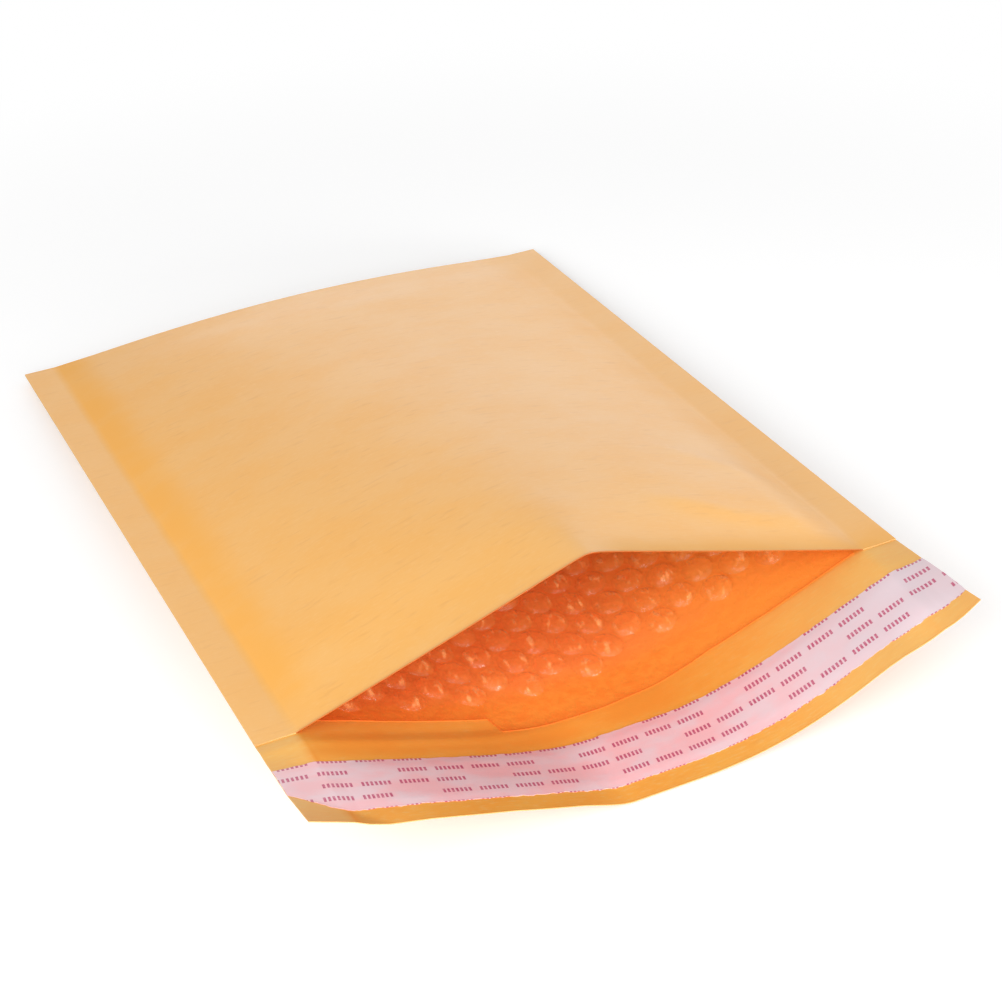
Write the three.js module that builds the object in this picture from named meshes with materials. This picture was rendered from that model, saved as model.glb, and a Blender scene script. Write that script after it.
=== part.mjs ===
// Padded mailing envelope: one folded kraft sheet, sealed along both sides and lined with bubble film.
// It lies on its back panel with the mouth standing open and the flap laid out flat.
// Millimetres, +Z up. The closed end points to +Y, the flap to -Y, and the table is z = 0.
import * as THREE from "three";

// Flat sizes of the kraft sheet
const panelWidth = 200; // side edge to side edge
const panelLength = 250; // bottom fold to mouth edge
const flapLength = 40; // mouth edge to the end of the flap
const seamWidth = 11; // sealed band along each side
const paperThickness = 0.3;

// How the pocket stands open, as heights above the table or above the side seams
const foldSeamHeight = 3.5; // seams above the table at the bottom fold
const foldRise = 7; // middle of the front panel above the seams at the bottom fold
const mouthSeamHeight = 22.5; // seams above the table at the mouth
const mouthRise = 26; // peak of the front panel's edge above the seams at the mouth
const leftCornerLift = 5.5; // extra bend of the flap's left corner
const rightCornerLift = 3; // extra bend of the flap's right corner

// Bubble lining
const layerGap = 0.25; // between paper, lining, adhesive and liner
const filmThickness = 0.4;
const liningInset = 5; // side seam to the lining's side edge
const liningSetback = 1.5; // mouth edge to the lining's edge
const bubblePitch = 11; // along a row of bubbles
const bubbleHeight = 3.5;
const bubbleClearance = 0.6; // between the tips of facing bubbles
const mouthMargin = 15; // mouth edge to the first bubbles
const foldMargin = 9; // bottom fold to the last bubbles

// Closure on the flap
const linerWidth = 20.5; // size across the strip
const linerMargin = 6.5; // liner to the end of the flap
const linerThickness = 0.2;
const adhesiveWidth = 15;
const adhesiveThickness = 0.2;

// Fineness of the facets
const panelRows = 8; // along a panel
const foldRows = 3; // around the bottom fold

// Reach of the bottom fold's nose for each millimetre of half height
const noseShape = 0.8;

// Stations along the envelope. Each holds the height and half distance of the seams, and the profiles
// across the pocket: flat is the level share of the half width, soft is how gently the slope sets in.
const innerHalf = panelWidth / 2 - seamWidth;
const fold = {
  seam: foldSeamHeight,
  half: innerHalf,
  rise: foldRise,
  front: { flat: 0, soft: 2 },
  backLeft: { flat: 0.75, soft: 1 },
  backRight: { flat: 0.75, soft: 1 },
};
const mouth = {
  seam: mouthSeamHeight,
  half: Math.sqrt(innerHalf ** 2 - mouthRise ** 2), // the raised front panel draws the seams together
  rise: mouthRise,
  front: { flat: 0, soft: 0.03 },
  backLeft: { flat: 0.15, soft: 0.3 },
  backRight: { flat: 0.15, soft: 0.3 },
};
const flapShare = flapLength / panelLength;
const flapEnd = {
  seam: mouth.seam + (mouth.seam - fold.seam) * flapShare,
  half: mouth.half + (mouth.half - fold.half) * flapShare,
  backLeft: { flat: 0.12, soft: 0.06 },
  backRight: { flat: 0.12, soft: 1.2 },
};

// 0 over the level middle of a profile, rising to 1 at the seam
function bow(share, { flat, soft }) {
  const out = Math.max(0, (share - flat) / (1 - flat));
  return (Math.hypot(out, soft) - soft) / (Math.hypot(1, soft) - soft);
}

// Outer face of the paper at a station: side is +1 on the front panel and -1 on the back.
// The place across is measured on the flat sheet, from its middle.
function stationPoint(station, across, side) {
  const share = THREE.MathUtils.clamp(across / innerHalf, -1, 1);
  const x = share * station.half + (across - share * innerHalf);
  const back = across < 0 ? station.backLeft : station.backRight;
  const z =
    side > 0
      ? station.seam + paperThickness + station.rise * (1 - bow(Math.abs(share), station.front))
      : (station.seam - paperThickness) * bow(Math.abs(share), back);
  return new THREE.Vector3(x, 0, z);
}

// How far the bottom fold's nose stands out beyond the end of the panels
function noseReach(across) {
  const top = stationPoint(fold, across, 1);
  const bottom = stationPoint(fold, across, -1);
  return (noseShape * (top.z - bottom.z)) / 2;
}

// Straight length of a panel between the mouth edge and the nose
function panelRun(across) {
  return panelLength - noseReach(across);
}

// Moves end along -Y until it lies a flat length away from start
function stretch(start, end, length) {
  const rise = Math.hypot(end.x - start.x, end.z - start.z);
  end.y = start.y - Math.sqrt(length ** 2 - rise ** 2);
  return end;
}

// Extra height of the flap's bent corners, outside the seam lines
function cornerLift(across, flapPlace) {
  const past = Math.max(0, Math.abs(across) - innerHalf) / seamWidth;
  return (across < 0 ? leftCornerLift : rightCornerLift) * past * (flapPlace / flapLength);
}

// A point on a layer of the envelope. Depth is the flat distance from the mouth edge, into the pocket when
// positive and out along the flap when negative. Inset is how far the layer lies inside the paper's outer face.
function layerPoint(across, depth, side, inset) {
  const start = stationPoint(fold, across, side);
  start.y = -noseReach(across);
  const lip = stretch(start, stationPoint(mouth, across, side), panelRun(across));
  let point;
  if (depth >= 0) {
    point = lip.lerp(start, depth / panelRun(across));
  } else {
    const end = stretch(lip, stationPoint(flapEnd, across, side), flapLength);
    point = lip.lerp(end, -depth / flapLength);
    point.z += cornerLift(across, -depth);
  }
  point.z -= side * inset;
  return point;
}

// A point around the bottom fold, with turn running from 0 on the front panel to PI on the back
function foldPoint(across, turn, inset) {
  const top = layerPoint(across, panelRun(across), 1, inset);
  const bottom = layerPoint(across, panelRun(across), -1, inset);
  const half = (top.z - bottom.z) / 2;
  const y = top.y + noseShape * half * Math.sin(turn);
  return new THREE.Vector3(top.x, y, (top.z + bottom.z) / 2 + half * Math.cos(turn));
}

// The points of one layer at one place across: over the front panel from the mouth, round the fold and back.
// Depths run from the mouth towards the fold.
function wrap(across, depths, inset) {
  const front = depths.map((depth) => layerPoint(across, depth, 1, inset));
  const back = depths.map((depth) => layerPoint(across, depth, -1, inset));
  const nose = [];
  for (let row = 1; row <= foldRows; row += 1) {
    nose.push(foldPoint(across, (Math.PI * row) / (foldRows + 1), inset));
  }
  return [...front, ...nose, ...back.reverse()];
}

// Evenly spaced depths from a first depth to the end of the straight panel
function evenDepths(across, first) {
  const step = (panelRun(across) - first) / panelRows;
  return Array.from({ length: panelRows + 1 }, (_, row) => first + row * step);
}

// Triangles are collected as a plain list of corners. Those with no area are left out.
function addTriangle(corners, a, b, c) {
  if (a.distanceTo(b) > 1e-6 && b.distanceTo(c) > 1e-6 && c.distanceTo(a) > 1e-6) {
    corners.push(a, b, c);
  }
}

// A quad with a and d on its left. Its diagonal always runs from the flap's end of the left edge, so layers
// that lie on each other have parallel facets.
function addQuad(corners, a, b, c, d) {
  if (a.y <= d.y) {
    addTriangle(corners, a, b, c);
    addTriangle(corners, a, c, d);
  } else {
    addTriangle(corners, a, b, d);
    addTriangle(corners, b, c, d);
  }
}

// Joins two neighbouring loops with a closed band over their first count points, leaving out skipped edges
function addBand(corners, left, right, count, skip = () => false) {
  for (let at = 0; at < count; at += 1) {
    const next = (at + 1) % count;
    if (!skip(at)) {
      addQuad(corners, left[at], right[at], right[next], left[next]);
    }
  }
}

// Distance of each point along a chain, as a share of the chain's length
function sharesAlong(chain) {
  const shares = [0];
  for (let at = 1; at < chain.length; at += 1) {
    shares.push(shares[at - 1] + chain[at].distanceTo(chain[at - 1]));
  }
  return shares.map((length) => length / shares[shares.length - 1]);
}

// Closes the thin end of a layer between its outer and inner chains, which run the same way;
// facing is -1 at the left end and +1 at the right
function addEnd(corners, outer, inner, facing) {
  const outerShares = sharesAlong(outer);
  const innerShares = sharesAlong(inner);
  let at = 0;
  let beside = 0;
  while (at + 1 < outer.length || beside + 1 < inner.length) {
    const outerNext = outerShares[at + 1] ?? Infinity;
    const innerNext = innerShares[beside + 1] ?? Infinity;
    const next = outerNext <= innerNext ? outer[at + 1] : inner[beside + 1];
    const [first, second] = facing > 0 ? [inner[beside], next] : [next, inner[beside]];
    addTriangle(corners, outer[at], first, second);
    if (outerNext <= innerNext) {
      at += 1;
    } else {
      beside += 1;
    }
  }
}

function solid(name, corners, material) {
  const geometry = new THREE.BufferGeometry().setFromPoints(corners);
  geometry.computeVertexNormals();
  const mesh = new THREE.Mesh(geometry, new THREE.MeshStandardMaterial(material));
  mesh.name = name;
  return mesh;
}

// Columns across the sheet follow the bubble columns, so paper and lining have parallel facets
const liningHalf = innerHalf - liningInset;
const columnPitch = bubblePitch * Math.sin(Math.PI / 3);
const columnCount = 2 * Math.round(liningHalf / columnPitch);
const liningColumns = Array.from(
  { length: columnCount + 1 },
  (_, column) => liningHalf * ((2 * column) / columnCount - 1),
);
const pocketColumns = [-innerHalf, ...liningColumns, innerHalf];
const sheetColumns = [-panelWidth / 2, ...pocketColumns, panelWidth / 2];

// Places of the liner and the adhesive along the flap, from the mouth edge
const linerEnd = flapLength - linerMargin;
const linerStart = linerEnd - linerWidth;
const adhesiveStart = linerStart + (linerWidth - adhesiveWidth) / 2;
const adhesiveEnd = adhesiveStart + adhesiveWidth;
const flapPlaces = [linerStart, adhesiveStart, adhesiveEnd, linerEnd, flapLength];

// The kraft sheet's outer face, round the end of the flap and back to the mouth edge
function outerSheet(across) {
  const outer = wrap(across, evenDepths(across, 0), 0);
  const under = flapPlaces.map((place) => layerPoint(across, -place, -1, 0));
  const upper = [0, ...flapPlaces].map((place) => layerPoint(across, -place, -1, paperThickness));
  return [...outer, ...under, ...upper.reverse()];
}

// The faces inside the pocket, from the back panel's mouth edge round to the front panel's
function innerSheet(across) {
  return wrap(across, evenDepths(across, 0), paperThickness).reverse().slice(1);
}

// One folded sheet: the two panels part between the seam lines and are one thickness in the seams
function kraftEnvelope() {
  const corners = [];
  const outer = sheetColumns.map(outerSheet);
  const whole = pocketColumns.map((across, at) => [...outer[at + 1], ...innerSheet(across)]);
  const sealed = outer[0].length;
  const last = outer.length - 1;
  addBand(corners, outer[0], outer[1], sealed);
  addBand(corners, outer[last - 1], outer[last], sealed);
  for (let at = 0; at + 1 < whole.length; at += 1) {
    addBand(corners, whole[at], whole[at + 1], whole[at].length);
  }
  for (const [loop, facing] of [[outer[0], -1], [outer[last], 1]]) {
    const tip = panelRows + Math.ceil(foldRows / 2);
    const flapTop = loop.length - flapPlaces.length - 1;
    const upper = [...loop.slice(flapTop), ...loop.slice(0, tip + 1)];
    const lower = loop.slice(tip, flapTop).reverse();
    addEnd(corners, upper, lower, facing);
  }
  return solid("kraft_envelope", corners, { color: "#d9a35c", roughness: 0.75, metalness: 0 });
}

// Bubble rows step by half a pitch, because neighbouring columns are staggered
const halfPitch = bubblePitch / 2;
const bubbleRows = Math.floor((panelLength - mouthMargin - foldMargin) / bubblePitch);
const latticeSteps = 2 * bubbleRows;
const zigzag = bubblePitch / (4 * Math.sqrt(3)) / (liningColumns[1] - liningColumns[0]);
const liningInner = paperThickness + layerGap + filmThickness;

function filmDepths(across) {
  const lattice = Array.from({ length: latticeSteps + 1 }, (_, step) => mouthMargin + step * halfPitch);
  return [liningSetback, ...lattice, panelRun(across)];
}

// A bubble between two columns, filling the six-sided cell that starts at one lattice point.
// Direction is the way it stands off the film: down from the front panel, up from the back.
function addBubble(corners, left, right, at, direction, height) {
  const ring = [left[at], right[at], right[at + 1], right[at + 2], left[at + 2], left[at + 1]];
  const tip = left[at + 1].clone().lerp(right[at + 1], 0.5);
  tip.z += direction * height;
  ring.forEach((corner, turn) => addTriangle(corners, corner, ring[(turn + 1) % ring.length], tip));
}

// The film is one folded sheet, with its bubbles on the inside
function bubbleLining() {
  const corners = [];
  const outerLoops = liningColumns.map((across) => {
    return wrap(across, evenDepths(across, liningSetback), paperThickness + layerGap);
  });
  const innerLoops = liningColumns.map((across) => wrap(across, filmDepths(across), liningInner).reverse());
  const outerCount = outerLoops[0].length;
  const innerCount = innerLoops[0].length;
  const backStart = 1;
  const frontStart = innerCount - 2 - latticeSteps;

  // Column lines swing from side to side, so that the cells between them are six-sided
  const swungLoops = innerLoops.map((loop, column) => {
    const swung = loop.map((point) => point.clone());
    if (column > 0 && column < columnCount) {
      for (const start of [backStart, frontStart]) {
        for (let step = 0; step <= latticeSteps; step += 1) {
          const towards = innerLoops[column + ((step + column) % 2 === 0 ? 1 : -1)];
          swung[start + step].lerp(towards[start + step], zigzag);
        }
      }
    }
    return swung;
  });

  const loops = outerLoops.map((outer, column) => [...outer, ...swungLoops[column]]);
  const inLattice = (at) => {
    const place = at - outerCount;
    return [backStart, frontStart].some((start) => place >= start && place < start + latticeSteps);
  };
  for (let column = 0; column < columnCount; column += 1) {
    addBand(corners, loops[column], loops[column + 1], outerCount + innerCount, inLattice);
    const left = swungLoops[column];
    const right = swungLoops[column + 1];
    const stagger = column % 2;
    for (const [start, direction] of [[backStart, 1], [frontStart, -1]]) {
      for (let at = start + stagger; at + 2 <= start + latticeSteps; at += 2) {
        const facing = innerCount - 1 - (at + 1);
        const room = Math.abs(left[facing].z + right[facing].z - left[at + 1].z - right[at + 1].z) / 2;
        const height = THREE.MathUtils.clamp((room - bubbleClearance) / 2, 0, bubbleHeight);
        addBubble(corners, left, right, at, direction, height);
      }
      if (stagger > 0) {
        const end = start + latticeSteps;
        addQuad(corners, left[start], right[start], right[start + 1], left[start + 1]);
        addQuad(corners, left[end - 1], right[end - 1], right[end], left[end]);
      }
    }
  }
  addEnd(corners, outerLoops[0], innerLoops[0].reverse(), -1);
  addEnd(corners, outerLoops[columnCount], innerLoops[columnCount].reverse(), 1);
  return solid("bubble_lining", corners, { color: "#d8743c", roughness: 0.35, metalness: 0 });
}

// A strip that lies on the flap from edge to edge, a gap above the layer below it
function flapStrip(name, start, end, below, thickness, material) {
  const corners = [];
  const loops = sheetColumns.map((across) => [
    layerPoint(across, -end, -1, below + thickness),
    layerPoint(across, -start, -1, below + thickness),
    layerPoint(across, -start, -1, below),
    layerPoint(across, -end, -1, below),
  ]);
  for (let at = 0; at + 1 < loops.length; at += 1) {
    addBand(corners, loops[at], loops[at + 1], 4);
  }
  for (const [loop, facing] of [[loops[0], -1], [loops[loops.length - 1], 1]]) {
    addEnd(corners, loop.slice(0, 2), loop.slice(2).reverse(), facing);
  }
  return solid(name, corners, material);
}

const adhesiveBelow = paperThickness + layerGap;
const linerBelow = adhesiveBelow + adhesiveThickness + layerGap;
const adhesiveLook = { color: "#e6d3a0", roughness: 0.3, metalness: 0 };
const linerLook = { color: "#ecd0d8", roughness: 0.45, metalness: 0 };

const envelope = new THREE.Group();
envelope.add(
  kraftEnvelope(),
  bubbleLining(),
  flapStrip("adhesive_strip", adhesiveStart, adhesiveEnd, adhesiveBelow, adhesiveThickness, adhesiveLook),
  flapStrip("release_liner", linerStart, linerEnd, linerBelow, linerThickness, linerLook),
);

// The part's origin is the middle of its footprint
const footprint = new THREE.Box3().setFromObject(envelope);
envelope.position.y = -(footprint.min.y + footprint.max.y) / 2;

const part = new THREE.Group();
part.add(envelope);

export default part;
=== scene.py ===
import math
from collections import namedtuple

import bpy
import numpy as np
from mathutils import Matrix, Vector


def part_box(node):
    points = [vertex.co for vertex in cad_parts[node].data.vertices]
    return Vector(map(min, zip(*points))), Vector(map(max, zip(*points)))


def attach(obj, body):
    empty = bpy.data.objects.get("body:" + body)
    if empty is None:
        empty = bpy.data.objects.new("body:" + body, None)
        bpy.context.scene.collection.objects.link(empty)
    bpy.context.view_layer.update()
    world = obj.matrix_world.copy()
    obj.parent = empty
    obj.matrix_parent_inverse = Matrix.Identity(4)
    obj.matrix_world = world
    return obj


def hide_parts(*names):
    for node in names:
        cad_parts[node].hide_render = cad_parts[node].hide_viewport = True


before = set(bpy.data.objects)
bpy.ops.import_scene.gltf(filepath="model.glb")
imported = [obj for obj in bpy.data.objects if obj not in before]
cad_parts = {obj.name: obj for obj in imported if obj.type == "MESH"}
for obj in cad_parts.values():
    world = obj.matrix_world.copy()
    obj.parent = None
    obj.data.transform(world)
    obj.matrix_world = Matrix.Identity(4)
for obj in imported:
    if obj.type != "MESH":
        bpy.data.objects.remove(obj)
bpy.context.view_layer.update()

# Padded envelope. Shapes are worked out in millimetres on the flat sheet. Across is the place from
# the sheet's middle. Depth is the distance from the mouth edge, into the pocket when positive and
# out along the flap when negative, where it is also called place. Side is +1 on the front panel and
# -1 on the back panel and the flap.
MM = 0.001

# Flat sizes of the kraft sheet
PANEL_WIDTH = 200
PANEL_LENGTH = 250
FLAP_LENGTH = 40
SEAM_WIDTH = 11
PAPER = 0.3
HALF_WIDTH = PANEL_WIDTH / 2
INNER_HALF = HALF_WIDTH - SEAM_WIDTH

# How the pocket stands open: heights of the seams, rises above them and the flap's lifted corners
FOLD_SEAM = 3.5
FOLD_RISE = 7
MOUTH_SEAM = 22.5
MOUTH_RISE = 26
MOUTH_SOFT = 0.03
NOSE_SHAPE = 0.8
LEFT_CORNER_LIFT = 2.8
RIGHT_CORNER_LIFT = 3

# Stations along the envelope. Each profile is a level share of the half width and a softness.
FOLD = {
    "seam": FOLD_SEAM,
    "half": INNER_HALF,
    "rise": FOLD_RISE,
    "front": (0, 2),
    "left": (0.75, 1),
    "right": (0.75, 1),
}
MOUTH = {
    "seam": MOUTH_SEAM,
    "half": math.sqrt(INNER_HALF**2 - MOUTH_RISE**2),
    "rise": MOUTH_RISE,
    "front": (0, MOUTH_SOFT),
    "left": (0.15, 0.3),
    "right": (0.15, 0.3),
}
FLAP_SHARE = FLAP_LENGTH / PANEL_LENGTH
FLAP_END = {
    "seam": MOUTH["seam"] + (MOUTH["seam"] - FOLD["seam"]) * FLAP_SHARE,
    "half": MOUTH["half"] + (MOUTH["half"] - FOLD["half"]) * FLAP_SHARE,
    "left": (0.12, 0.06),
    "right": (0.12, 1.2),
}

# Seeded waves of slack paper: height, seed, range of wave lengths and number of waves
Waves = namedtuple("Waves", "height seed lengths count")
FRONT_SWAY = Waves(0.4, 11, (45, 110), 7)
FRONT_RIPPLE = Waves(0.07, 12, (14, 30), 8)
BACK_SWAY = Waves(0.3, 13, (40, 90), 7)
FLAP_SLACK = Waves(0.35, 21, (45, 90), 5)
FLAP_COCKLE = Waves(0.35, 22, (12, 26), 6)
SEAM_WAVER = Waves(0.8, 31, (18, 50), 5)
FLAP_WAVER = Waves(0.5, 32, (10, 30), 5)
FILM_WAVER = Waves(0.12, 61, (4, 14), 6)

# Relief of the front panel
HOLD_MOUTH = 34  # depth at which the slack is free of the mouth edge
HOLD_FOLD = 30  # and the same from the bottom fold
CROWN_SOFT = 0.42
CROWN_RUN = 110
SHOULDER_HEIGHT = 1.1
SHOULDER_WIDTH = 15
DROOP_LINE = [(40, 42), (66, 31), (88, 18)]  # crest of the slack right flank: across and depth
DROOP_HEIGHT = 1.9
DROOP_LENGTH = 48
# Soft ridges across the right flank: a line of points each, and the height
FACETS = (
    ([(32, 33), (44, 28), (59, 20), (80, 15)], 0.55),
    ([(52, 68), (64, 58), (75, 46), (88, 31)], 0.45),
)
FACET_WIDTH = 4.2
FACET_ENDS = 0.7  # how bluntly a ridge ends

# Bends of the flap
SCORE_HEIGHT = 0.25
SCORE_PLACE = 4
SCORE_WIDTH = 2.2
BEND_ACROSS, BEND_PLACE = -99, 25  # a point on the bent left corner's fold line
BEND_NORMAL = (-0.62, 0.8)  # across and along the flap
BEND_SLOPE = 0.22
SAG_POWER = 1.5
# Sag and lift of the flap's free edge: across and height
EDGE_SAG = [
    (-100, -0.8), (-92, -1.5), (-85, -2.1), (-76, -1.2), (-68, -0.3), (-58, 0.4), (-45, 1.2),
    (-25, 1.2), (-10, 0), (66, 0), (71, -0.25), (76, -1), (80, -2.1), (85, -3.3), (89, -4),
    (92, -3.9), (95, -3.2), (97.5, -2.1), (100, -0.8),
]

# Bubble film. Insets are measured from the paper's outer face.
FILM_OUTER = 0.32
FILM_INNER = 0.46
LINING_HALF = 86.5
LINING_SETBACK = 1.5
NOTCH = (-32.4, -30.6)
# Edge of the film on the back panel: set back on the left of the notch, out on the flap beyond it
FILM_EDGE = [
    (-87, 6.2), (-70, 6), (-46, 5), (NOTCH[0], 4.2), (NOTCH[1], -2.2), (-17, -2.8), (0, -3),
    (20, -1), (36, 1), (87, 1.2),
]
LATTICE_HALF = 84
LATTICE_STEPS = 40
MOUTH_MARGIN = 15
EXTRA_ROW_END = 12  # left of it, every other column has one bubble more at the mouth
BUBBLE_SEED = 5
BUBBLE_COLUMNS = 18
BUBBLE_PITCH = 11
BUBBLE_RADIUS = 5.0
BUBBLE_HEIGHT = 3.0
BUBBLE_LOWEST = 0.1
BUBBLE_CLEARANCE = 0.6
BUBBLE_SINK = 0.12  # how far the rim dips into the film
BUBBLE_STRAY = 0.25
BUBBLE_DIMPLE = 0.22
NEAR_DEPTH = 120  # bubbles up to here are in sight and get the finer mesh
NEAR_MESH = (20, 9)  # segments and rings
FAR_MESH = (10, 4)

# Strips on the flap: places along the flap, insets of both faces and the seed of the ragged edges
Strip = namedtuple("Strip", "name start end lower upper seed")
GLUE = Strip("glue_strip", 15.75, 30.75, 0.31, 0.48, 41)
LINER = Strip("liner_strip", 13, 33.5, 0.5, 0.62, 51)
STRIP_COLUMNS = 401
STRIP_EDGE = 0.32  # inset of the long edges, which are pressed down
EDGE_SHARE = 0.14
RAGGED_START = Waves(0.3, None, (1.5, 9), 9)  # each strip has its own seeds
RAGGED_END = Waves(0.5, None, (1.2, 7), 9)
# The strips' far edge turns back at the bent left corner: across and place
LINER_CORNER = [(-100, 24.5), (-96.5, 28), (-92, 32), (-88, 33.6), (-84, 34)]

# Flat-sheet map. The kraft's outside starts at 0, and each inner face has a place of its own.
OUTER_NOSE = 6
INNER_LIP = 200
INNER_FOLD = INNER_LIP + PANEL_LENGTH
INNER_HINGE = INNER_FOLD + PANEL_LENGTH
FILM_NOSE = 4
FILM_BACK = 520

# Numbers of the materials on a piece
OUTSIDE, INSIDE, CUT_EDGE, LIP_EDGE = range(4)
FILM_BASE, FILM_DOME = range(2)
SHARP_ANGLE = math.radians(50)

# The frame's origin is the middle of the footprint, and the closed end's tip is at the far end
FOLD_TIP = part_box("kraft_envelope")[1].y / MM


def smooth(value):
    share = np.clip(value, 0, 1)
    return share * share * (3 - 2 * share)


def fade(value, start, end):
    """0 before start and 1 beyond end, with a soft change between. End may lie below start."""
    return smooth((value - start) / (end - start))


def hump(value, centre, width):
    """A soft bump of height 1."""
    return np.exp(-(((value - centre) / width) ** 2))


def along_points(across, points):
    """Second value of a list of points, at a place across."""
    return np.interp(across, *zip(*points))


def bow(share, flat, soft):
    """0 over the level middle of a profile, rising to 1 at the seam."""
    out = np.maximum(0, (share - flat) / (1 - flat))
    return (np.hypot(out, soft) - soft) / (np.hypot(1, soft) - soft)


def profile(station, across, side):
    """x and z of the paper's outer face at a station."""
    share = np.clip(across / INNER_HALF, -1, 1)
    x = share * station["half"] + (across - share * INNER_HALF)
    if side > 0:
        rise = station["rise"] * (1 - bow(np.abs(share), *station["front"]))
        return x, station["seam"] + PAPER + rise
    left = bow(np.abs(share), *station["left"])
    right = bow(np.abs(share), *station["right"])
    return x, (station["seam"] - PAPER) * np.where(across < 0, left, right)


def nose_reach(across):
    """How far the bottom fold's nose stands out beyond the panels."""
    return NOSE_SHAPE * (profile(FOLD, across, 1)[1] - profile(FOLD, across, -1)[1]) / 2


def panel_run(across):
    """Straight length of a panel between the mouth edge and the bottom fold's nose."""
    return PANEL_LENGTH - nose_reach(across)


def waves(across, depth, kind):
    """A seeded sum of gentle waves over the flat sheet."""
    rng = np.random.default_rng(kind.seed)
    total = np.zeros(np.broadcast(across, depth).shape)
    for _ in range(kind.count):
        angle = rng.uniform(0, math.pi)
        turn = 2 * math.pi / rng.uniform(*kind.lengths)
        phase = rng.uniform(0, 2 * math.pi)
        total += np.sin(turn * (across * math.cos(angle) + depth * math.sin(angle)) + phase)
    return kind.height * (total / kind.count)


def to_line(across, depth, points):
    """Distance to a line of points, and the share along it."""
    best = np.full(np.broadcast(across, depth).shape, np.inf)
    place = np.zeros(best.shape)
    spans = len(points) - 1
    for at in range(spans):
        (a0, d0), (a1, d1) = points[at], points[at + 1]
        a_run, d_run = a1 - a0, d1 - d0
        share = ((across - a0) * a_run + (depth - d0) * d_run) / (a_run**2 + d_run**2)
        share = np.clip(share, 0, 1)
        gap = np.hypot(across - a0 - share * a_run, depth - d0 - share * d_run)
        place = np.where(gap < best, (at + share) / spans, place)
        best = np.minimum(best, gap)
    return best, place


def front_relief(across, depth):
    """How far the front panel and its lining stand up from the ruled surface."""
    inside = np.maximum(0, INNER_HALF - np.abs(across))
    run = panel_run(across)
    from_fold = run - depth
    held = fade(depth, 0, HOLD_MOUTH) * fade(from_fold, 0, HOLD_FOLD)
    share = np.minimum(np.abs(across) / INNER_HALF, 1)
    rounder = bow(share, 0, MOUTH_SOFT + CROWN_SOFT * fade(depth, 0, CROWN_RUN))
    crown = MOUTH_RISE * (bow(share, *MOUTH["front"]) - rounder) * from_fold / run
    shoulder = SHOULDER_HEIGHT * (1 - (1 - np.clip(inside / SHOULDER_WIDTH, 0, 1)) ** 2)
    sway = waves(across, depth, FRONT_SWAY) * fade(inside, 0, 25)
    ripple = waves(across, depth, FRONT_RIPPLE) * fade(inside, 0, 14)
    crest = along_points(across, DROOP_LINE)
    droop = np.where(depth < crest, smooth(depth / crest), hump(depth, crest, DROOP_LENGTH))
    droop = DROOP_HEIGHT * droop * fade(across, 6, 51) * fade(inside, 0, 15)
    facets = 0
    for points, height in FACETS:
        gap, place = to_line(across, depth, points)
        ends = np.sin(math.pi * place) ** FACET_ENDS
        facets = facets + height * hump(gap, 0, FACET_WIDTH) * ends
    return crown + (shoulder + sway + ripple) * held + droop + facets * fade(inside, 0, 6)


def back_relief(across, depth):
    """How far the back panel and its lining stand up from the ruled surface."""
    inside = np.maximum(0, INNER_HALF - np.abs(across))
    from_fold = panel_run(across) - depth
    sway = (BACK_SWAY.height + waves(across, depth, BACK_SWAY)) * fade(inside, 0, 20)
    return sway * fade(depth, 0, 30) * fade(from_fold, 0, HOLD_FOLD)


def flap_relief(across, place):
    """Bends of the flap: the score line, the bent left corner, the edge's sag and slack paper."""
    score = SCORE_HEIGHT * hump(place, SCORE_PLACE, SCORE_WIDTH) * fade(across, 30, -60)
    beyond = (across - BEND_ACROSS) * BEND_NORMAL[0] + (place - BEND_PLACE) * BEND_NORMAL[1]
    bend = np.where(across < 0, BEND_SLOPE * np.maximum(0, beyond), 0)
    to_edge = (place / FLAP_LENGTH) ** SAG_POWER
    sag = along_points(across, EDGE_SAG) * to_edge
    resting = FLAP_SLACK.height * fade(np.abs(across), 45, 15)
    slack = (resting + waves(across, place, FLAP_SLACK)) * to_edge
    cockle = waves(across, place, FLAP_COCKLE) * fade(np.abs(across), 70, 95) * fade(place, 0, 12)
    past_seam = np.maximum(0, np.abs(across) - INNER_HALF) / SEAM_WIDTH
    lift = np.where(across < 0, LEFT_CORNER_LIFT, RIGHT_CORNER_LIFT)
    corner = lift * past_seam * (place / FLAP_LENGTH)
    return score + bend + sag + slack + cockle + corner


def stretched(start, x, z, length):
    """Points at x and z that lie a flat length away from start, towards the flap."""
    rise = np.hypot(x - start[..., 0], z - start[..., 2])
    y = start[..., 1] - np.sqrt(length**2 - rise**2)
    return np.stack(np.broadcast_arrays(x, y, z), axis=-1)


def layer(across, depth, side, inset):
    """Points of a layer that lies inset inside the paper's outer face."""
    across, depth = np.asarray(across, float), np.asarray(depth, float)
    across, depth = np.broadcast_arrays(across, depth)
    within = np.maximum(0, depth)
    run = panel_run(across)
    x, z = profile(FOLD, across, side)
    start = np.stack([x, -nose_reach(across), z], axis=-1)
    lip = stretched(start, *profile(MOUTH, across, side), run)
    points = lip + (start - lip) * np.clip(depth / run, 0, 1)[..., None]
    if side > 0:
        points[..., 2] += np.where(depth > 0, front_relief(across, within), 0) - inset
        return points
    place = np.maximum(0, -depth)
    end = stretched(lip, *profile(FLAP_END, across, side), FLAP_LENGTH)
    points = points + (end - lip) * (place / FLAP_LENGTH)[..., None]
    lifted = np.where(depth > 0, back_relief(across, within), flap_relief(across, place))
    points[..., 2] += np.where(depth == 0, 0, lifted) + inset
    return points


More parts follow.
